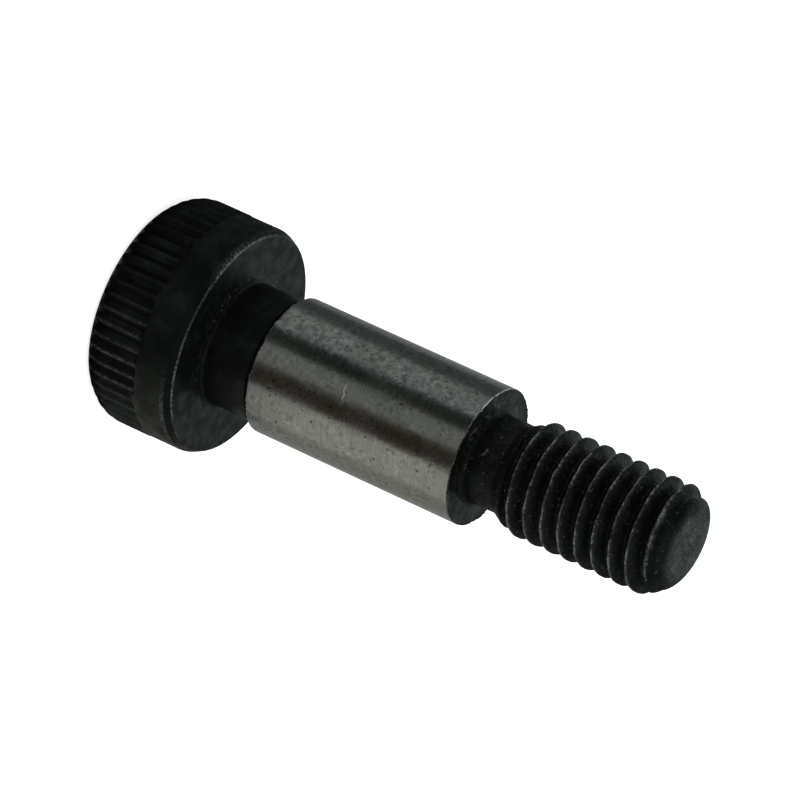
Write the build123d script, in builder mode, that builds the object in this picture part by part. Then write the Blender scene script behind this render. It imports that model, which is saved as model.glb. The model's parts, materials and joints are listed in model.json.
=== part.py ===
"""Socket head shoulder bolt: knurled head, ground shoulder and rolled thread in one piece.

The bolt stands on its driving face with the thread pointing up. The origin is on the axis, in the
plane of the bearing face under the head, and +Z points towards the thread. Sizes are in
millimetres and angles in degrees.
"""
from build123d import *
from math import ceil, cos, radians, tan
import os

# Head
head_diameter = 10.0
head_height = 4.4
rim_drop = 0.5  # how far the rim of the driving face comes in from the side
rim_length = 1.0  # how far down the side the rim reaches
rim_bend_drop = 0.13  # the rim is two bevels, which meet this far in from the side
rim_bend_length = 0.44  # and this far down from the driving face
seat_edge_width = 0.2  # bevel round the bearing face, measured across the face
seat_edge_length = 0.4  # the same bevel, measured along the side

# Straight knurl round the head
knurl_count = 52
knurl_length = 2.65  # from the driving face, so that a plain band is left beside the bearing face
knurl_rise = 0.03  # the crests stand this far above the plain band
knurl_depth = 0.2  # from crest to valley
knurl_valley_width = 0.42  # across the mouth of a valley
knurl_overcut = 0.1  # how far the valley's cutter stands outside the crests

# Hexagon socket
socket_sides = 6
socket_across_flats = 3.0
socket_depth = 2.45
socket_mouth_width = 0.08  # lead-in outside the corners of the hexagon
drill_point_angle = 120

# Neck between head and shoulder
neck_diameter = 5.42
neck_length = 2.4
neck_corner = 0.15  # bevel in the corner under the head
neck_ramp_angle = 45

# Ground shoulder
shoulder_diameter = 5.98
shoulder_length = 12.25  # from the bearing face to the end of the shoulder
shoulder_edge = 0.05

# Relief between shoulder and thread
relief_diameter = 3.86
relief_length = 1.4
relief_corner = 0.25  # bevel in the corner at the end of the shoulder
relief_ramp_angle = 30

# Thread M5 x 0.8
thread_diameter = 4.89
thread_root_diameter = 4.02
thread_pitch = 0.8
thread_flank_angle = 60
thread_root_width = 0.12
thread_length = 9.5  # from the end of the shoulder to the tip
thread_run_in = 0.75  # the groove starts this far inside the relief
thread_overcut = 0.05  # how far the groove's cutter stands outside the crests

# Tip
pilot_diameter = 4.18
pilot_length = 0.55
pilot_ramp_angle = 50
tip_chamfer_width = 0.5
tip_chamfer_length = 0.4

# Radii and heights that follow from the sizes above
head_radius = head_diameter / 2
knurl_radius = head_radius + knurl_rise
neck_radius = neck_diameter / 2
shoulder_radius = shoulder_diameter / 2
relief_radius = relief_diameter / 2
thread_radius = thread_diameter / 2
thread_root_radius = thread_root_diameter / 2
pilot_radius = pilot_diameter / 2
driving_face = -head_height
knurl_end = driving_face + knurl_length
relief_end = shoulder_length + relief_length
tip_height = shoulder_length + thread_length
pilot_start = tip_height - pilot_length


def ramp_length(rise, angle):
    """Axial length of a cone that climbs by rise at angle to the axis."""
    return rise / tan(radians(angle))


neck_ramp = ramp_length(shoulder_radius - neck_radius, neck_ramp_angle)
relief_ramp = ramp_length(thread_radius - relief_radius, relief_ramp_angle)
pilot_ramp = ramp_length(thread_radius - pilot_radius, pilot_ramp_angle)

# The turned blank: half of its outline, revolved about the axis
with BuildPart() as bolt:
    with BuildSketch(Plane.XZ):
        with BuildLine():
            Polyline(
                (0, driving_face),
                (knurl_radius - rim_drop, driving_face),
                (knurl_radius - rim_bend_drop, driving_face + rim_bend_length),
                (knurl_radius, driving_face + rim_length),
                (knurl_radius, knurl_end),
                (head_radius, knurl_end + knurl_rise),
                (head_radius, -seat_edge_length),
                (head_radius - seat_edge_width, 0),
                (neck_radius + neck_corner, 0),
                (neck_radius, neck_corner),
                (neck_radius, neck_length - neck_ramp),
                (shoulder_radius, neck_length),
                (shoulder_radius, shoulder_length - shoulder_edge),
                (shoulder_radius - shoulder_edge, shoulder_length),
                (relief_radius + relief_corner, shoulder_length),
                (relief_radius, shoulder_length + relief_corner),
                (relief_radius, relief_end),
                (thread_radius, relief_end + relief_ramp),
                (thread_radius, pilot_start - pilot_ramp),
                (pilot_radius, pilot_start),
                (pilot_radius, tip_height - tip_chamfer_length),
                (pilot_radius - tip_chamfer_width, tip_height),
                (0, tip_height),
                close=True,
            )
        make_face()
    revolve(axis=Axis.Z)

# One valley of the knurl: a straight V along the side, which runs out over the slope of the rim
valley_radius = knurl_radius - knurl_depth
valley_mouth = knurl_radius + knurl_overcut
valley_slope = knurl_valley_width / 2 / knurl_depth
valley_half_width = (knurl_depth + knurl_overcut) * valley_slope
with BuildPart() as valley:
    with BuildSketch(Plane.XY.offset(driving_face)):
        with BuildLine():
            Polyline(
                (valley_radius, 0),
                (valley_mouth, valley_half_width),
                (valley_mouth, -valley_half_width),
                close=True,
            )
        make_face()
    extrude(amount=knurl_length)

# One turn of the thread's groove, which starts in the open relief
groove_start = relief_end - thread_run_in
groove_mouth = thread_radius + thread_overcut
groove_half_mouth = thread_root_width / 2 + (groove_mouth - thread_root_radius) * tan(
    radians(thread_flank_angle / 2)
)
groove_turns = ceil((tip_height + groove_half_mouth - groove_start) / thread_pitch)
with BuildPart() as groove_turn:
    with BuildLine() as turn_path:
        Helix(thread_pitch, thread_pitch, thread_root_radius, (0, 0, groove_start))
    with BuildSketch(Plane.XZ):
        with BuildLine():
            Polyline(
                (thread_root_radius, groove_start - thread_root_width / 2),
                (groove_mouth, groove_start - groove_half_mouth),
                (groove_mouth, groove_start + groove_half_mouth),
                (thread_root_radius, groove_start + thread_root_width / 2),
                close=True,
            )
        make_face()
    sweep(path=turn_path.wires()[0], is_frenet=True)

# The hexagon socket in the driving face, with the point of its drill and a lead-in at the mouth
socket_radius = socket_across_flats / 2
corner_radius = socket_radius / cos(radians(180 / socket_sides))
mouth_radius = corner_radius + socket_mouth_width
with bolt:
    with BuildSketch(Plane.XY.offset(driving_face)):
        RegularPolygon(socket_radius, socket_sides, major_radius=False)
    extrude(amount=socket_depth, mode=Mode.SUBTRACT)
    with Locations((0, 0, driving_face + socket_depth)):
        Cone(
            socket_radius,
            0,
            ramp_length(socket_radius, drill_point_angle / 2),
            align=(Align.CENTER, Align.CENTER, Align.MIN),
            mode=Mode.SUBTRACT,
        )
    with Locations((0, 0, driving_face)):
        Cone(
            mouth_radius,
            0,
            ramp_length(mouth_radius, drill_point_angle / 2),
            align=(Align.CENTER, Align.CENTER, Align.MIN),
            mode=Mode.SUBTRACT,
        )
    with PolarLocations(0, knurl_count):
        add(valley.part, mode=Mode.SUBTRACT)
    with Locations([(0, 0, turn * thread_pitch) for turn in range(groove_turns)]):
        add(groove_turn.part, mode=Mode.SUBTRACT)

bolt.part.label = "shoulder_bolt"
os.makedirs("parts", exist_ok=True)
export_step(bolt.part, "parts/shoulder_bolt.step")
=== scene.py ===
"""Looks of the shoulder bolt: one fine mesh in the place of the CAD node, in black oxide and ground steel.

The bolt stands on its driving face with the thread pointing up, as in the frame. Sizes are in
millimetres from here on and angles in degrees, until a mesh is made in metres.
"""

import json
import math

import bmesh
import bpy
import numpy as np
from mathutils import Matrix, Vector


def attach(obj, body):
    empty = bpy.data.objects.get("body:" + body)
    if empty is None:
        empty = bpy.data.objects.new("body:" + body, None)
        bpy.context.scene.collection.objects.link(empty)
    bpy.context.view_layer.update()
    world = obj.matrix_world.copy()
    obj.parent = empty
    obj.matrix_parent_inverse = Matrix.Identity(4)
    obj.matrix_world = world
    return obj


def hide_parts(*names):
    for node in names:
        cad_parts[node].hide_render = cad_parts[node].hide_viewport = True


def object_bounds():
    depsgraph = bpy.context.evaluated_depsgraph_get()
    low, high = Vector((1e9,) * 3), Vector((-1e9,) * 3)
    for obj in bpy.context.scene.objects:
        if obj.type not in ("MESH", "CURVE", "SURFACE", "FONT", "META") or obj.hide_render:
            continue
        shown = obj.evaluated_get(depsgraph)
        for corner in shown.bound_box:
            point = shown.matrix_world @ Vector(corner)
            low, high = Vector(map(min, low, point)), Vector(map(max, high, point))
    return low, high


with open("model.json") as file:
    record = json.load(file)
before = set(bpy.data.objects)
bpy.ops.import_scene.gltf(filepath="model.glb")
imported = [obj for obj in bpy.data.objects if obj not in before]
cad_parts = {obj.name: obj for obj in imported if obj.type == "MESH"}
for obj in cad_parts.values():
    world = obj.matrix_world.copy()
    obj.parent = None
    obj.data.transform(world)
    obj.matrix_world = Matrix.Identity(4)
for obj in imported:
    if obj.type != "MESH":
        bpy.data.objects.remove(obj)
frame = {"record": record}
cad_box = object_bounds()
NODE = "shoulder_bolt"
MM = 0.001

# Sizes that the frame gives
record_mounts = {mount["name"]: mount for mount in frame["record"]["mounts"]}
driving_face = cad_box[0].z / MM
tip_height = cad_box[1].z / MM
knurl_radius = cad_box[1].x / MM
shoulder_radius = record_mounts["shoulder"]["dims"]["r_mm"]
thread_radius = record_mounts["thread"]["dims"]["r_mm"]

# Head and knurl
head_radius = 5.0
rim_drop = 0.5
rim_length = 1.0
knurl_count = 52
knurl_length = 2.65
knurl_end = driving_face + knurl_length
knurl_fade = 0.14  # the valleys rise to the plain band over this length
knurl_depth = 0.2
knurl_crest = 0.06  # width of a ridge's crest
seat_edge_width = 0.2  # bevel round the bearing face, measured across the face
seat_edge_length = 0.4  # the same bevel, measured along the side

# Socket
socket_apothem = 1.5
socket_depth = 2.45
socket_mouth_width = 0.08
drill_point_angle = 120

# Neck, shoulder and relief
neck_radius = 2.71
neck_length = 2.4
shoulder_length = 12.25
relief_radius = 1.93
relief_length = 1.4
relief_end = shoulder_length + relief_length

# Thread and tip
thread_pitch = 0.8
thread_root_radius = 2.01
thread_root_width = 0.12
thread_flank_angle = 30  # from the plane across the axis
thread_run_in = 0.75  # the groove starts this far inside the relief
thread_start = relief_end - thread_run_in  # height of the groove's middle at +X
thread_bottom = relief_end - 0.2  # level ring that the thread's rows of points start from
relief_ramp_angle = 30
pilot_radius = 2.09
pilot_length = 0.55
pilot_start = tip_height - pilot_length
pilot_ramp_angle = 50
tip_edge_width = 0.8
tip_edge_length = 0.55
tip_edge_lean = 0.2  # the crowned edge is this much larger at +X and smaller at -X

# The mesh: its columns of points round the axis, and its material slots
COLUMNS = knurl_count * 3
KNURL_COLUMNS = knurl_count * 12
OXIDE, STEEL = 0, 1

# The photograph's view
camera_place = Vector((-0.636, -208.94, 102.79))
camera_target = Vector((-0.636, 0, 7.663))
camera_elevation = 24.48  # of the line from the target to the camera
camera_roll = 114.523
focal_length = 253.98
sensor_width = 36

# The stage
floor_half_width = 3000
floor_gap = 0.02  # the floor lies this far under the driving face, so that the two aren't coplanar
card_lift = 0.02  # and the cards on the floor this far above it
top_card_lift = 0.03  # the same for cards that lie on other cards
contact_edge = knurl_radius + 0.6  # how far from the axis the dark ring under the head reaches
floor_card_reach = 400
upper_card_distance = 120
lamp_aim = 8  # height of the point on the axis that the lamp faces


class Skin:
    """Rings of points round the axis and the faces between them, with a value of wear and painted highlight
    at each point.
    """

    def __init__(self):
        self.points, self.wear, self.faces, self.slots = [], [], [], []
        self.count = 0

    def ring(self, radius, height, columns=COLUMNS, wear=0.0):
        """A ring of points. Radius, height and wear with painted highlight are single values or one for each
        column.
        """
        turn = np.arange(columns) * 2 * math.pi / columns
        radius, height, wear = (np.broadcast_to(v, columns) for v in (radius, height, wear))
        self.points.append(np.stack([radius * np.cos(turn), radius * np.sin(turn), height], 1))
        self.wear.append(wear)
        self.count += columns
        return np.arange(self.count - columns, self.count)

    def centre(self, height):
        """A point on the axis."""
        self.points.append(np.array([[0.0, 0.0, height]]))
        self.wear.append(np.zeros(1))
        self.count += 1
        return self.count - 1

    def add(self, corners, slot):
        """Faces of one material slot, each a list of point numbers."""
        self.faces.extend(corners)
        self.slots.extend([slot] * len(corners))

    def strip(self, first, second, slot=OXIDE):
        """Faces between two rings. Where one has more columns, its points fan out from the other's."""
        if len(first) == len(second):
            a, b = np.roll(first, -1), np.roll(second, -1)
            self.add(np.stack([first, a, b, second], 1).tolist(), slot)
            return
        fine, coarse = (first, second) if len(first) > len(second) else (second, first)
        ratio = len(fine) // len(coarse)
        corners = []
        for j, near in enumerate(coarse):
            far = coarse[(j + 1) % len(coarse)]
            run = [fine[(j * ratio + k) % len(fine)] for k in range(ratio + 1)]
            middle = ratio // 2
            corners += [[run[k], run[k + 1], near] for k in range(middle)]
            corners += [[run[middle], far, near]]
            corners += [[run[k], run[k + 1], far] for k in range(middle, ratio)]
        if fine is second:
            corners = [c[::-1] for c in corners]
        self.add([[int(i) for i in c] for c in corners], slot)

    def fan(self, centre, ring, slot=OXIDE, outward=True):
        """Triangles from a point on the axis to a ring."""
        after = np.roll(ring, -1)
        middle = np.full(len(ring), centre)
        columns = [middle, after, ring] if outward else [ring, after, middle]
        self.add(np.stack(columns, 1).tolist(), slot)

    def mesh(self, name):
        """The mesh in metres, with smooth shading between its sharp edges."""
        mesh = bpy.data.meshes.new(name)
        mesh.from_pydata((np.vstack(self.points) * MM).tolist(), [], self.faces)
        mesh.polygons.foreach_set("material_index", self.slots)
        # The point value holds real wear and a painted highlight alike
        worn_and_highlit = mesh.attributes.new("wear", "FLOAT", "POINT")
        worn_and_highlit.data.foreach_set("value", np.concatenate(self.wear).astype(np.float32))
        mesh.shade_smooth()
        mesh.update()
        return mesh


def uneven(rng, size, spread, span):
    """Random numbers round 0, drawn together over a span of neighbours."""
    return np.convolve(rng.normal(0, spread, size + span - 1), np.ones(span) / math.sqrt(span), "valid")


def smooth_step(x):
    """A smooth rise from 0 to 1 as x goes from 0 to 1, held at both ends."""
    x = np.clip(x, 0, 1)
    return x * x * (3 - 2 * x)


def rounded_outline(corners, support=0.03, steps=5):
    """Points (radius, height, wear and painted highlight) along a line of corners (radius, height, rounding,
    wear and painted highlight).

    Each rounding is a smooth curve that begins and ends that far from its corner, with a point
    just beyond each end, so that the long stretches are shaded flat. A wear, with its painted
    highlight, is one value or a value for each column.
    """
    points = [(corners[0][0], corners[0][1], 0.0)]
    for before, here, after in zip(corners, corners[1:], corners[2:]):
        corner = np.array(here[:2])
        back, on = (np.array(c[:2]) - corner for c in (before, after))
        back, on = back / np.linalg.norm(back), on / np.linalg.norm(on)
        size, wear = here[2], here[3]
        points.append((*(corner + back * (size + support)), 0.0))
        for t in np.linspace(0, 1, steps + 1):
            place = corner + back * size * (1 - t) ** 2 + on * size * t**2
            points.append((*place, wear * math.sin(math.pi * t) ** 0.5 if 0 < t < 1 else 0.0))
        points.append((*(corner + on * (size + support)), 0.0))
    points.append((corners[-1][0], corners[-1][1], 0.0))
    return points


def knurl_shape(columns):
    """How deep each column lies in a valley, from 0 on a ridge's crest to 1 at the valley's floor."""
    pitch = 2 * math.pi * knurl_radius / knurl_count
    across = np.arange(columns) / columns * knurl_count % 1.0
    from_crest = pitch / 2 - np.minimum(across, 1 - across) * pitch
    slope = np.clip((from_crest - knurl_crest / 2) / (pitch / 2 - knurl_crest / 2), 0, 1)
    return 1 - (1 - slope) ** 1.3


def wear_and_highlight_patch(columns, middle, half_width):
    """How much wear and painted highlight each column gets: 1 at an angle round the bolt (0 at -X, 90 at
    -Y), fading away from it.
    """
    around = np.arange(columns) * 360 / columns - 180
    apart = np.abs((around - middle + 180) % 360 - 180)
    return smooth_step(1 - apart / half_width)


def add_socket(skin):
    """Drill point, hexagon walls and lead-in. Returns the ring at the mouth."""
    floor = driving_face + socket_depth
    cone = 1 / math.tan(math.radians(drill_point_angle / 2))
    apex = skin.centre(floor + socket_apothem * cone)
    last = None
    for share in (0.15, 0.4, 0.7, 0.97, 1.0):
        ring = skin.ring(socket_apothem * share, floor + socket_apothem * (1 - share) * cone)
        skin.fan(apex, ring) if last is None else skin.strip(last, ring)
        last = ring
    turn = np.arange(COLUMNS) * 360 / COLUMNS
    hexagon = socket_apothem / np.cos(np.radians((turn + 30) % 60 - 30))
    mouth = socket_apothem / math.cos(math.radians(30)) + socket_mouth_width
    top = driving_face + (mouth - hexagon) * cone
    for height in (floor, floor - 0.02, (floor + top) / 2, top + 0.02, top):
        ring = skin.ring(hexagon, height)
        skin.strip(last, ring)
        last = ring
    ring = skin.ring(mouth, driving_face)
    skin.strip(last, ring)
    return ring


def add_knurled_head(skin, last):
    """Driving face, rounded rim and knurl. Returns the ring where the plain band begins."""
    columns = KNURL_COLUMNS
    ridge = np.arange(columns) // (columns // knurl_count)
    rng = np.random.default_rng(52)
    lowered = np.abs(rng.normal(0, 0.012, knurl_count))[ridge]
    valley = knurl_radius - knurl_depth * knurl_shape(columns) - lowered
    # Worn crests of the ridges, with a painted highlight on them, strongest round 130 degrees
    rubbed_and_highlit_depth = 0.06  # only what stands within this depth of the crests is rubbed
    crest = np.clip(1 - (knurl_radius - valley) / rubbed_and_highlit_depth, 0, 1)
    uneven_wear = rng.uniform(0.4, 1, knurl_count)[ridge]
    rubbed_and_highlit = crest * (0.03 + 0.4 * wear_and_highlight_patch(columns, 130, 50)) * uneven_wear
    rim_radius = (rim_drop**2 + rim_length**2) / (2 * rim_drop)
    rim_start = driving_face + rim_length
    steepest = math.asin(rim_length / rim_radius)
    face_edge = knurl_radius - rim_drop
    # Rings on the driving face, the last two close to its edge
    for radius in (1.9, 2.8, 3.8, face_edge - 0.1, face_edge - 0.01):
        ring = skin.ring(radius, driving_face)
        skin.strip(last, ring)
        last = ring
    # The rounded rim, where the valleys run out
    for angle in np.linspace(steepest, 0, 13):
        drop = rim_radius * (1 - math.cos(angle))
        height = rim_start - rim_radius * math.sin(angle)
        run_out = math.sqrt(max(1 - drop / rim_drop, 0))
        radius = knurl_radius - drop - (knurl_radius - valley) * run_out
        ring = skin.ring(radius, height, columns, rubbed_and_highlit * run_out)
        skin.strip(last, ring)
        last = ring
    # The valleys don't all end at the same height
    wander = np.clip(rng.normal(0, 0.12, knurl_count), -0.25, 0.12)[ridge]
    for share in (0.3, 0.6, 0.9):
        height = rim_start + (knurl_end - knurl_fade - rim_start) * share
        ring = skin.ring(valley, height + wander * share, columns, rubbed_and_highlit)
        skin.strip(last, ring)
        last = ring
    for share in (0.0, 0.35, 0.7, 1.0):
        radius = valley + (head_radius - valley) * smooth_step(share)
        height = knurl_end - knurl_fade * (1 - share) + wander * (1 - share)
        ring = skin.ring(radius, height, columns, rubbed_and_highlit * (1 - share))
        skin.strip(last, ring)
        last = ring
    ring = skin.ring(head_radius, knurl_end + 0.1, columns)
    skin.strip(last, ring)
    return ring


def add_body(skin, last):
    """Plain band, bearing face, neck, shoulder and the start of the relief. Returns the last ring."""
    # Pale marks along the head's bevel and the shoulder's edges: partly wear, partly painted highlight
    side_wear = 0.25 * wear_and_highlight_patch(COLUMNS, 150, 40)
    smear_and_highlight = 0.35 * wear_and_highlight_patch(COLUMNS, 47, 28)
    seat_wear = 0.12 + 0.88 * wear_and_highlight_patch(COLUMNS, 45, 40) + 0.4 * wear_and_highlight_patch(COLUMNS, 125, 50)
    end_wear = wear_and_highlight_patch(COLUMNS, 38, 50)
    shoulder_ends = (neck_length, shoulder_length)
    # Radius, height, rounding and wear with painted highlight of each corner
    corners = [
        (head_radius, knurl_end + 0.2, 0, 0),
        (head_radius, -seat_edge_length, 0.12, side_wear),
        (head_radius - seat_edge_width, 0, 0.07, seat_wear),
        (neck_radius, 0, 0.15, 0),
        (neck_radius, neck_length - (shoulder_radius - neck_radius), 0.05, 0),
        (shoulder_radius, neck_length, 0.03, 0.2),
        (shoulder_radius, shoulder_length, 0.05, end_wear),
        (relief_radius, shoulder_length, 0.25, 0),
        (relief_radius, thread_bottom, 0, 0),
    ]
    # The shoulder was ground after coating, so that its two edges are slightly ragged
    ragged = np.random.default_rng(6).normal(0, 0.02, COLUMNS)
    for radius, height, wear in rounded_outline(corners):
        to_edge = min(abs(height - end) for end in shoulder_ends)
        at_edge = radius > shoulder_radius - 0.04 and to_edge < 0.05
        on_bevel = radius > head_radius - seat_edge_width and -seat_edge_length < height < 0
        wear = np.maximum(wear, smear_and_highlight * (1 + height / seat_edge_length) ** 2 * on_bevel)
        ring = skin.ring(radius, height + ragged * at_edge, wear=wear)
        on_shoulder = neck_length < height < shoulder_length and radius > neck_radius + 0.2
        skin.strip(last, ring, STEEL if on_shoulder else OXIDE)
        last = ring
    return last


def thread_rows():
    """Axial places within one pitch, close together where the outline bends, from the root's middle."""
    half = thread_pitch / 2
    flank_slope = math.tan(math.radians(thread_flank_angle))
    corner = thread_root_width / 2 + (thread_radius - thread_root_radius) * flank_slope
    rise = [0, 0.03, 0.06, 0.09, 0.14, 0.2, corner - 0.05, corner - 0.025, corner - 0.005]
    crest = [corner + 0.02, corner + 0.05, half]
    up = np.array(rise + crest)
    return np.concatenate([up, thread_pitch - up[-2:0:-1]])


def soft_least(a, b, blend):
    """The lesser of two values, with a rounded change from one to the other."""
    h = np.clip(0.5 + 0.5 * (b - a) / blend, 0, 1)
    return b * (1 - h) + a * h - blend * h * (1 - h)


def thread_form(along):
    """Radius of the rolled thread, from the distance along the axis to the nearest root's middle."""
    crown = 0.012  # the crests are this much higher in their middle
    crest_rounding, root_rounding = 0.045, 0.06
    flank_slope = math.tan(math.radians(thread_flank_angle))
    flank = thread_root_radius + (along - thread_root_width / 2) / flank_slope
    crest = thread_radius - crown + crown * along / (thread_pitch / 2)
    ridge = soft_least(flank, crest, crest_rounding)
    return -soft_least(-ridge, -thread_root_radius, root_rounding)


def tip_edge():
    """Width and length of the tip's crowned edge at each column."""
    lean = tip_edge_lean * np.cos(np.arange(COLUMNS) * 2 * math.pi / COLUMNS)
    return tip_edge_width + lean, tip_edge_length + lean


def thread_envelope(height):
    """Radius of the blank: relief, ramp, crests, pilot and the crowned edge of the tip."""
    up = relief_radius + (height - relief_end) * math.tan(math.radians(relief_ramp_angle))
    down = pilot_radius + (pilot_start - height) * math.tan(math.radians(pilot_ramp_angle))
    rounding_at_relief, rounding_at_pilot = 0.03, 0.05
    blank = soft_least(np.maximum(up, relief_radius), thread_radius, rounding_at_relief)
    blank = soft_least(blank, np.maximum(down, pilot_radius), rounding_at_pilot)
    width, length = tip_edge()
    into_edge = np.clip((height - tip_height + length) / length, 0, 1)
    return blank - width * (1 - np.sqrt(1 - into_edge**2))


def add_thread(skin, last):
    """Rows of points that climb with the thread, held between two level rings.

    Returns the upper ring and its radius at each column.
    """
    places = thread_rows()
    bottom, top = thread_bottom, tip_height - tip_edge_length + tip_edge_lean
    first = thread_start - thread_pitch
    turns = math.ceil((top - first) / thread_pitch)
    rows = np.concatenate([first + n * thread_pitch + places for n in range(turns + 1)])
    climb = thread_pitch * np.arange(COLUMNS) / COLUMNS
    height = np.clip(rows[:, None] + climb[None, :], bottom, top)
    along = (height - climb - thread_start + thread_pitch / 2) % thread_pitch - thread_pitch / 2
    radius = soft_least(thread_form(np.abs(along)), thread_envelope(height), 0.02)
    # The crests are slightly rough, and waver a little from turn to turn
    rng = np.random.default_rng(8)
    from_root = np.abs(along)
    flank_middle = 0.2
    radius = radius - np.abs(rng.normal(0, 0.006, radius.shape)) * (from_root > flank_middle)

    def for_each_turn(spread):
        """Random numbers that change along the thread and are the same across it."""
        values = uneven(rng, (turns + 1) * COLUMNS, spread, 5)
        return np.repeat(values.reshape(-1, COLUMNS), len(places), axis=0)

    wobble = np.clip(for_each_turn(0.011), -0.03, 0.03) * smooth_step(from_root / flank_middle - 0.4)
    patchy = np.clip(1 + for_each_turn(0.35), 0.3, 1.5)
    height = np.clip(height + wobble * (height > bottom) * (height < top), bottom, top)
    # Rubbed along the corner of each crest that looks towards the head, fading across the crest: partly
    # wear, partly a painted highlight
    crest_corner = 0.34  # from the root's middle
    past = (along - crest_corner) % thread_pitch
    corner = np.exp(-((np.minimum(past, thread_pitch - past) / 0.035) ** 2))
    head_side = np.maximum(corner, 0.5 * np.exp(-past / 0.05)) * (radius > pilot_radius + 0.06)
    rubbed_and_highlit = head_side * (0.4 + 0.7 * wear_and_highlight_patch(COLUMNS, 55, 35) + 0.9 * wear_and_highlight_patch(COLUMNS, 140, 45))
    grid = [skin.ring(r, z, wear=w) for r, z, w in zip(radius, height, rubbed_and_highlit * patchy)]

    def point(i, j):
        """A point by its row and column. Past the last column, a row goes on one turn higher."""
        return int(grid[i][j] if j < COLUMNS else grid[min(i + len(places), len(grid) - 1)][0])

    for i in range(len(grid) - 1):
        for j in range(COLUMNS):
            corners = [point(i, j), point(i, j + 1), point(i + 1, j + 1), point(i + 1, j)]
            skin.add([corners], OXIDE)
    skin.strip(last, grid[0])
    return grid[-1], radius[-1]


def add_tip(skin, last, outline):
    """The crowned edge, from the uneven outline of the ring below it, and the flat face in the middle."""
    width, length = tip_edge()
    start = np.arcsin((length - tip_edge_length + tip_edge_lean) / length)
    apart = outline + width * (1 - np.cos(start)) - pilot_radius
    for share in np.linspace(0.1, 1, 10):
        angle = start + (math.pi / 2 - start) * share
        radius = pilot_radius + apart * (1 - share) - width * (1 - np.cos(angle))
        height = tip_height - length * (1 - np.sin(angle))
        ring = skin.ring(radius, height)
        skin.strip(last, ring)
        last = ring
    for share in (0.96, 0.6, 0.25):
        ring = skin.ring((pilot_radius - width) * share, tip_height)
        skin.strip(last, ring)
        last = ring
    skin.fan(skin.centre(tip_height), last, outward=False)


def merge_and_sharpen(mesh, angle):
    """Joins the points that coincide, drops faces without area and marks the sharp edges."""
    same_point, no_length = 0.0002 * MM, 0.0001 * MM
    work = bmesh.new()
    work.from_mesh(mesh)
    bmesh.ops.remove_doubles(work, verts=work.verts, dist=same_point)
    bmesh.ops.dissolve_degenerate(work, edges=work.edges, dist=no_length)
    work.to_mesh(mesh)
    work.free()
    mesh.set_sharp_from_angle(angle=math.radians(angle))


def build_bolt():
    """The whole bolt as one mesh, made ring by ring from the socket's drill point to the tip."""
    skin = Skin()
    ring = add_socket(skin)
    ring = add_knurled_head(skin, ring)
    ring = add_body(skin, ring)
    ring, outline = add_thread(skin, ring)
    add_tip(skin, ring, outline)
    mesh = skin.mesh("bolt_skin")
    merge_and_sharpen(mesh, angle=38)
    bolt = bpy.data.objects.new("bolt_skin", mesh)
    bpy.context.scene.collection.objects.link(bolt)
    return bolt


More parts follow.
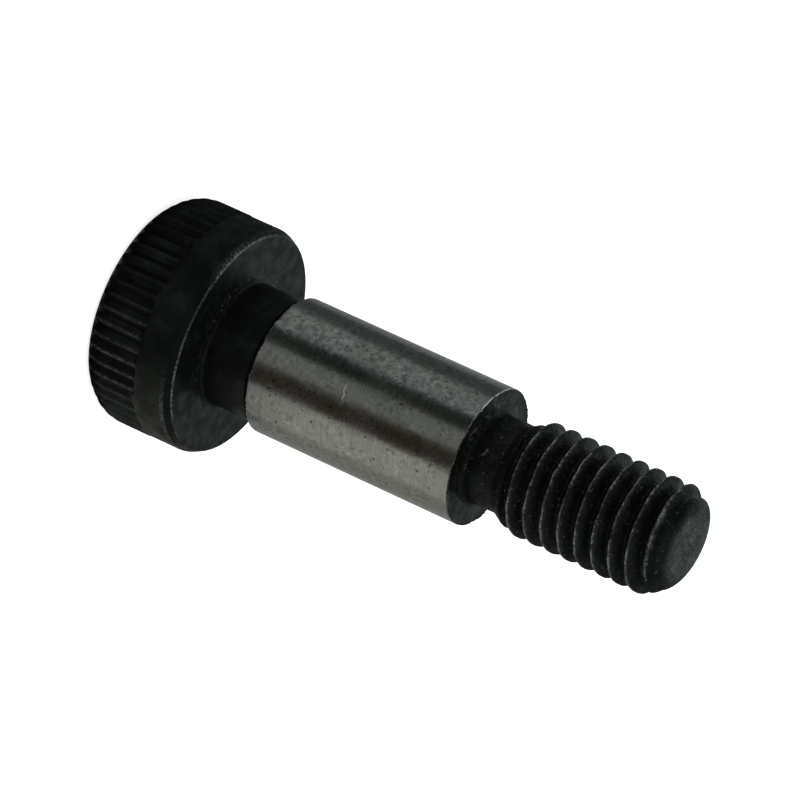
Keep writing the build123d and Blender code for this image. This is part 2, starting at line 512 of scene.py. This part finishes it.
class Nodes:
    """Short calls for building a material's node tree."""

    def __init__(self, name):
        self.material = bpy.data.materials.new(name)
        self.material.use_nodes = True
        self.tree = self.material.node_tree
        self.shader = self.tree.nodes["Principled BSDF"]
        self.place = self.add("ShaderNodeTexCoord").outputs["Object"]

    def add(self, kind, **settings):
        """A new node with its settings."""
        node = self.tree.nodes.new(kind)
        for name, value in settings.items():
            setattr(node, name, value)
        return node

    def link(self, source, target):
        """Joins an output to an input."""
        self.tree.links.new(source, target)

    def scaled(self, x, y, z):
        """The object's coordinates in millimetres, times a factor along each axis."""
        node = self.add("ShaderNodeVectorMath", operation="MULTIPLY")
        self.link(self.place, node.inputs[0])
        node.inputs[1].default_value = (x / MM, y / MM, z / MM)
        return node.outputs[0]

    def noise(self, x, y, z, detail=2.0, roughness=0.5):
        """Noise with about this many cells in a millimetre along each axis."""
        node = self.add("ShaderNodeTexNoise")
        self.link(self.scaled(x, y, z), node.inputs["Vector"])
        node.inputs["Scale"].default_value = 1.0
        node.inputs["Detail"].default_value = detail
        node.inputs["Roughness"].default_value = roughness
        return node.outputs[0]

    def ramp(self, source, low, high, to_low=0.0, to_high=1.0):
        """Maps low..high to to_low..to_high, held at both ends."""
        node = self.add("ShaderNodeMapRange", interpolation_type="SMOOTHSTEP")
        self.link(source, node.inputs["Value"])
        for name, value in zip(("From Min", "From Max", "To Min", "To Max"), (low, high, to_low, to_high)):
            node.inputs[name].default_value = value
        return node.outputs["Result"]

    def math(self, operation, a, b=0.0):
        """A calculation with one or two values, each a number or a node's output."""
        node = self.add("ShaderNodeMath", operation=operation)
        for socket, value in zip(node.inputs, (a, b)):
            if isinstance(value, (int, float)):
                socket.default_value = value
            else:
                self.link(value, socket)
        return node.outputs[0]

    def times(self, a, b):
        """The product of two values."""
        return self.math("MULTIPLY", a, b)

    def mix(self, factor, low, high):
        """A mix of two colours, each a tuple or a node's output."""
        node = self.add("ShaderNodeMix", data_type="RGBA")
        self.link(factor, node.inputs["Factor"])
        for socket, value in zip((node.inputs[6], node.inputs[7]), (low, high)):
            if isinstance(value, tuple):
                socket.default_value = (*value, 1.0)
            else:
                self.link(value, socket)
        return node.outputs[2]

    def bump(self, height, strength, distance, before=None):
        """A bumped normal, with its distance in millimetres, on top of the one before."""
        node = self.add("ShaderNodeBump")
        node.inputs["Strength"].default_value = strength
        node.inputs["Distance"].default_value = distance * MM
        self.link(height, node.inputs["Height"])
        if before is not None:
            self.link(before, node.inputs["Normal"])
        return node.outputs[0]

    def attribute(self, name):
        """A value that the mesh holds at its points."""
        return self.add("ShaderNodeAttribute", attribute_name=name).outputs["Fac"]

    def parts(self, vector):
        """The three numbers of a vector."""
        node = self.add("ShaderNodeSeparateXYZ")
        self.link(vector, node.inputs[0])
        return node.outputs

    def coordinates(self):
        """X, Y and Z of the shaded point in millimetres."""
        return self.parts(self.scaled(1, 1, 1))

    def length(self, x, y):
        """The length of a vector with two parts."""
        squares = self.math("ADD", self.times(x, x), self.times(y, y))
        return self.math("SQRT", squares)

    def near(self, value, middle, reach):
        """1 where a value is at the middle, falling to 0 at that reach from it."""
        return self.ramp(self.math("ABSOLUTE", self.math("SUBTRACT", value, middle)), reach, 0.0)


def flat_face(n):
    """1 on the faces that look along the axis towards the tip."""
    normal = n.add("ShaderNodeTexCoord").outputs["Normal"]
    return n.ramp(n.parts(normal)["Z"], 0.85, 0.95)


def black_oxide():
    """Near-black conversion coating: satin, green to brown, smudged on its faces, rubbed at its edges and
    painted there with highlights, with a painted sheen on the tip's face.
    """
    n = Nodes("black_oxide")
    x, y, z = n.coordinates()
    radius = n.length(x, y)
    mottle = n.noise(1.3, 1.3, 1.3, detail=5, roughness=0.6)
    tint = n.ramp(n.noise(0.35, 0.35, 0.35, detail=2), 0.5, 0.7)
    dark = n.mix(tint, (0.0016, 0.0026, 0.0020), (0.0028, 0.0024, 0.0018))
    light = n.mix(tint, (0.0042, 0.0060, 0.0048), (0.0062, 0.0056, 0.0044))
    colour = n.mix(n.ramp(mottle, 0.38, 0.68), dark, light)
    colour = n.mix(smudges(n), colour, (0.009, 0.012, 0.0105))
    # The middle of the tip's face is painted lighter: a speckled cut texture with a painted sheen
    colour = n.mix(tip_speckle_and_sheen(n, radius, z), colour, (0.05, 0.058, 0.052))
    # Steel colour on rubbed edges and crests: partly wear, partly a painted highlight
    worn_and_highlit = bare_spots_and_highlights(n, radius, x, z)
    colour = n.mix(worn_and_highlit, colour, (0.245, 0.27, 0.25))
    n.link(colour, n.shader.inputs["Base Color"])
    n.link(n.times(worn_and_highlit, 0.5), n.shader.inputs["Metallic"])
    n.link(n.ramp(mottle, 0.34, 0.66, 0.56, 0.36), n.shader.inputs["Roughness"])
    n.shader.inputs["Specular IOR Level"].default_value = 0.4
    n.shader.inputs["Specular Tint"].default_value = (0.84, 1.0, 0.92, 1.0)
    # Rough to the touch, more so on the rolled thread than on the turned head
    grain = n.noise(5, 5, 5, detail=3, roughness=0.6)
    coarser = n.ramp(z, shoulder_length, relief_end, 0.6, 2.0)
    pits = n.bump(n.times(grain, coarser), 0.8, 0.028)
    n.link(n.bump(mottle, 0.4, 0.06, before=pits), n.shader.inputs["Normal"])
    return n.material


def smudges(n):
    """Up to 0.6 in the pale smudges on the faces that look towards the tip."""
    smudge = n.ramp(n.noise(1.0, 1.0, 1.0, detail=6, roughness=0.65), 0.48, 0.62)
    return n.times(n.times(flat_face(n), smudge), 0.6)


def tip_speckle_and_sheen(n, radius, z):
    """How much the middle of the tip's face is lightened, in fine speckles: its cut texture and a painted
    sheen.
    """
    middle = n.ramp(radius, 1.75, 1.35)
    at_tip = n.times(middle, n.ramp(z, tip_height - 0.2, tip_height - 0.08))
    fine = n.ramp(n.noise(7, 4, 7, detail=3, roughness=0.6), 0.42, 0.68, 0.25, 0.85)
    return n.times(at_tip, fine)


def bare_spots_and_highlights(n, radius, x, z):
    """How much steel shows, as wear and as a painted highlight: where the mesh marks it, in the turned
    corners and in specks on the thread.
    """
    spared = n.ramp(n.noise(8, 8, 8, detail=3, roughness=0.6), 0.40, 0.62, 0.12, 0.98)
    round_neck = n.times(n.near(radius, 3.05, 0.25), n.near(z, 0, 0.1))
    round_relief = n.times(n.near(radius, 2.4, 0.4), n.near(z, shoulder_length, 0.1))
    # The corners at the neck and at the relief are dotted, most at -X
    turned = n.times(n.math("ADD", round_neck, round_relief), n.ramp(x, 0.5, -1.0, 0.3, 1.0))
    dotted = n.times(turned, n.ramp(n.noise(6, 6, 6, detail=2), 0.50, 0.64, 0.0, 0.35))
    on_thread = n.ramp(z, shoulder_length - 0.1, shoulder_length)
    specks = n.times(on_thread, n.ramp(n.noise(7, 7, 7, detail=1), 0.65, 0.72, 0.0, 0.25))
    rubbed_and_highlit = n.math("ADD", n.math("ADD", n.attribute("wear"), dotted), specks)
    return n.times(rubbed_and_highlit, spared)


def ground_steel():
    """Bare steel, ground round the axis: fine lines round it, a dimpled sheen, small dark pits, and pale
    edges that are partly chipped and partly a painted highlight.
    """
    n = Nodes("ground_steel")
    speckle = n.noise(4.6, 4.6, 4.6, detail=3, roughness=0.6)
    lines = n.noise(0.35, 0.35, 14, detail=3, roughness=0.6)
    dimpled = dimples(n, speckle)
    shade = n.math("ADD", dimpled, n.times(lines, 0.15))
    colour = n.mix(n.ramp(shade, -0.125, 0.275), (0.28, 0.285, 0.275), (0.77, 0.775, 0.75))
    pit = n.ramp(n.noise(5, 5, 5, detail=2, roughness=0.6), 0.65, 0.70)
    colour = n.mix(pit, colour, (0.12, 0.12, 0.11))
    # Pale edges of the shoulder: partly chipping, partly a painted highlight
    chipped_and_highlit = n.times(n.attribute("wear"), n.ramp(speckle, 0.40, 0.58, 0.5, 1.0))
    scuffed_and_highlit = n.math("MAXIMUM", chipped_and_highlit, scratch(n))
    colour = n.mix(scuffed_and_highlit, colour, (0.72, 0.73, 0.70))
    n.link(colour, n.shader.inputs["Base Color"])
    n.link(n.math("SUBTRACT", 1.0, n.times(scuffed_and_highlit, 0.6)), n.shader.inputs["Metallic"])
    cloud = n.noise(0.9, 0.9, 0.5, detail=3)
    n.link(n.ramp(cloud, 0.3, 0.7, 0.20, 0.28), n.shader.inputs["Roughness"])
    ground = n.bump(lines, 0.25, 0.006)
    n.link(n.bump(dimpled, 0.4, 0.02, before=ground), n.shader.inputs["Normal"])
    return n.material


def dimples(n, speckle):
    """The speckle about 0, in patches, and strongest along the side at -X."""
    along_side = n.near(n.coordinates()["X"], -1.6, 1.2)
    side = n.ramp(along_side, 0.0, 1.0, 0.5, 0.95)
    patches = n.ramp(n.noise(1.3, 1.3, 1.0, detail=3, roughness=0.6), 0.42, 0.58, 0.35, 1.0)
    return n.times(n.math("SUBTRACT", speckle, 0.5), n.times(side, patches))


def scratch(n):
    """1 along one short, uneven scratch across the front of the shoulder."""
    height, lean = 6.87, 0.1
    x, y, z = n.coordinates()
    wander = n.times(n.noise(2.5, 2.5, 0.2, detail=3), 0.5)
    from_line = n.math("ADD", n.math("SUBTRACT", z, n.times(x, lean)), wander)
    line = n.times(n.near(from_line, height, 0.03), n.near(x, 0.03, 0.55))
    return n.times(line, n.math("LESS_THAN", y, 0.0))


def pale_floor():
    """A floor that the camera and the metal see as white, apart from the bolt's shadow."""
    n = Nodes("pale_floor")
    n.shader.inputs["Base Color"].default_value = (0.8, 0.8, 0.8, 1.0)
    n.shader.inputs["Roughness"].default_value = 1.0
    n.shader.inputs["Specular IOR Level"].default_value = 0.0
    path = n.add("ShaderNodeLightPath").outputs
    seen = n.math("MAXIMUM", path["Is Camera Ray"], path["Is Glossy Ray"])
    seen = n.math("MAXIMUM", seen, path["Is Transmission Ray"])
    n.shader.inputs["Emission Color"].default_value = (1.0, 1.0, 1.0, 1.0)
    n.link(n.times(seen, 0.68), n.shader.inputs["Emission Strength"])
    return n.material


def add_floor():
    """A wide floor just under the driving face."""
    mesh = bpy.data.meshes.new("floor")
    half, height = floor_half_width * MM, (driving_face - floor_gap) * MM
    corners = [(-half, -half, height), (half, -half, height), (half, half, height), (-half, half, height)]
    mesh.from_pydata(corners, [], [(0, 1, 2, 3)])
    mesh.materials.append(pale_floor())
    floor = bpy.data.objects.new("floor", mesh)
    bpy.context.scene.collection.objects.link(floor)


def add_world(strength):
    """Even white light from all sides."""
    world = bpy.data.worlds.new("studio")
    world.use_nodes = True
    back = world.node_tree.nodes["Background"]
    back.inputs["Color"].default_value = (1.0, 1.0, 1.0, 1.0)
    back.inputs["Strength"].default_value = strength
    world.cycles.sampling_method = "NONE"
    bpy.context.scene.world = world


def add_card(name, corners, colour):
    """A glowing card that only shapes what the metal reflects, a painted reflection, and casts no shadow."""
    mesh = bpy.data.meshes.new(name)
    half = len(corners) // 2
    faces = [(k, k + 1, half + k + 1, half + k) for k in range(half - 1)]
    mesh.from_pydata([tuple(c * MM for c in corner) for corner in corners], [], faces)
    n = Nodes(name)
    n.shader.inputs["Base Color"].default_value = (0.0, 0.0, 0.0, 1.0)
    n.shader.inputs["Specular IOR Level"].default_value = 0.0
    n.shader.inputs["Emission Color"].default_value = (*colour, 1.0)
    n.shader.inputs["Emission Strength"].default_value = 1.0
    n.material.cycles.emission_sampling = "NONE"
    mesh.materials.append(n.material)
    card = bpy.data.objects.new(name, mesh)
    card.visible_camera = card.visible_diffuse = card.visible_shadow = card.visible_transmission = False
    bpy.context.scene.collection.objects.link(card)


def reflected_azimuth(around):
    """Angle round the axis, in radians, of the floor that a side of the shoulder mirrors to the camera.

    The side is given in degrees. Both angles start at -X and pass -Y after a quarter turn.
    """
    middle = shoulder_length * 0.6  # about the middle of the shoulder that shows
    reach = (middle - driving_face) / math.tan(math.radians(camera_elevation))
    here, there = math.radians(around), math.radians(2 * around - 90)
    x = shoulder_radius * math.cos(here) + reach * math.cos(there)
    y = shoulder_radius * math.sin(here) + reach * math.sin(there)
    return math.atan2(y, x)


def add_floor_card(name, first, last, inner, outer, colour, lift=card_lift):
    """A card on the floor, between two angles in radians and two distances from the axis."""
    steps = max(2, int((last - first) / 0.1))
    angles = np.linspace(first, last, steps)
    height = driving_face + lift
    corners = [(-r * math.cos(a), -r * math.sin(a), height) for r in (inner, outer) for a in angles]
    add_card(name, corners, colour)


def add_mirrored_card(
    name, start, end, colour, inner=contact_edge, outer=floor_card_reach, lift=card_lift
):
    """The card on the floor that the shoulder mirrors between two angles round it."""
    first, last = reflected_azimuth(start), reflected_azimuth(end)
    last += 2 * math.pi * (last < first)
    add_floor_card(name, first, last, inner, outer, colour, lift)


def towards(azimuth, elevation):
    a, e = math.radians(azimuth), math.radians(elevation)
    return Vector((math.sin(a) * math.cos(e), -math.cos(a) * math.cos(e), math.sin(e)))


def add_upper_card(name, start, end, low, high, colour):
    """A card in the air, between two azimuths and two elevations."""
    azimuths = np.linspace(start, end, 12)
    corners = [towards(a, e) * upper_card_distance for e in (low, high) for a in azimuths]
    add_card(name, corners, colour)


def add_lamp(name, azimuth, elevation, distance, size, strength):
    """A soft square lamp that faces the bolt."""
    away = towards(azimuth, elevation)
    light = bpy.data.lights.new(name, "AREA")
    light.size = size * MM
    light.energy = strength
    lamp = bpy.data.objects.new(name, light)
    lamp.location = (Vector((0, 0, lamp_aim)) + away * distance) * MM
    lamp.rotation_mode = "QUATERNION"
    lamp.rotation_quaternion = away.to_track_quat("Z", "Y")
    bpy.context.scene.collection.objects.link(lamp)


def add_camera():
    """The photograph's view: from above the floor, rolled so that the bolt points down to the right."""
    data = bpy.data.cameras.new("camera")
    data.sensor_width = sensor_width
    data.lens = focal_length
    data.clip_start, data.clip_end = 10 * MM, 20000 * MM
    camera = bpy.data.objects.new("camera", data)
    aim = (camera_target - camera_place).to_track_quat("-Z", "Y").to_matrix()
    aim = aim @ Matrix.Rotation(math.radians(camera_roll), 3, "Z")
    camera.matrix_world = Matrix.Translation(camera_place * MM) @ aim.to_4x4()
    bpy.context.scene.collection.objects.link(camera)
    bpy.context.scene.camera = camera


def add_cards():
    """All that the metal mirrors beside the floor, chosen by what each side of the bolt shows."""
    # The shadow right under the rim
    face_edge = knurl_radius - rim_drop + 0.03
    add_floor_card("contact", 0, 2 * math.pi, face_edge, contact_edge, (0.01, 0.01, 0.01))
    # Bands along the shoulder, from its side at -X (0) over the front to its side at +X (180)
    add_mirrored_card("top_edge", 0, 12, (0.30, 0.31, 0.30))
    add_mirrored_card("grey_edge", 12, 22, (0.16, 0.17, 0.16))
    add_mirrored_card("dark_side", 22, 42, (0.055, 0.063, 0.058))
    add_mirrored_card("grey_side", 42, 65, (0.19, 0.21, 0.20))
    add_mirrored_card("dark_front", 65, 79.5, (0.016, 0.019, 0.016))
    add_mirrored_card("grey_front", 79.5, 96, (0.17, 0.18, 0.165))
    add_mirrored_card("brown_front", 96, 114, (0.028, 0.023, 0.016))
    add_mirrored_card("pale_side", 114, 142, (0.37, 0.365, 0.335))
    add_mirrored_card("pale_edge", 142, 166, (0.235, 0.23, 0.21))
    add_mirrored_card("low_edge", 166, 180, (0.30, 0.30, 0.28))
    add_mirrored_card("behind", 180, 360, (0.30, 0.30, 0.29))
    # Near the bolt, so that only the head and the neck mirror them
    add_mirrored_card("head_shade", 28, 64, (0.07, 0.08, 0.075), outer=14, lift=top_card_lift)
    add_mirrored_card(
        "neck_shade", 112, 150, (0.06, 0.06, 0.055), inner=12.5, outer=16.8, lift=top_card_lift
    )
    # In the air, for the faces that look up
    add_upper_card("overhead", 0, 360, 66, 90, (0.03, 0.03, 0.03))
    add_upper_card("front_above", -120, 120, -2, 66, (0.04, 0.04, 0.04))
    add_upper_card("back_low", 120, 173, -2, 66, (0.10, 0.11, 0.105))
    add_upper_card("back_high", 173, 240, -2, 66, (0.34, 0.38, 0.36))


bolt = build_bolt()
bolt.data.materials.append(black_oxide())
bolt.data.materials.append(ground_steel())
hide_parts(NODE)
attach(bolt, "root")

add_floor()
add_cards()
add_world(strength=0.85)
add_lamp("key", azimuth=60, elevation=60, distance=300, size=250, strength=0.12)
add_camera()
bpy.context.scene.view_settings.view_transform = "Standard"
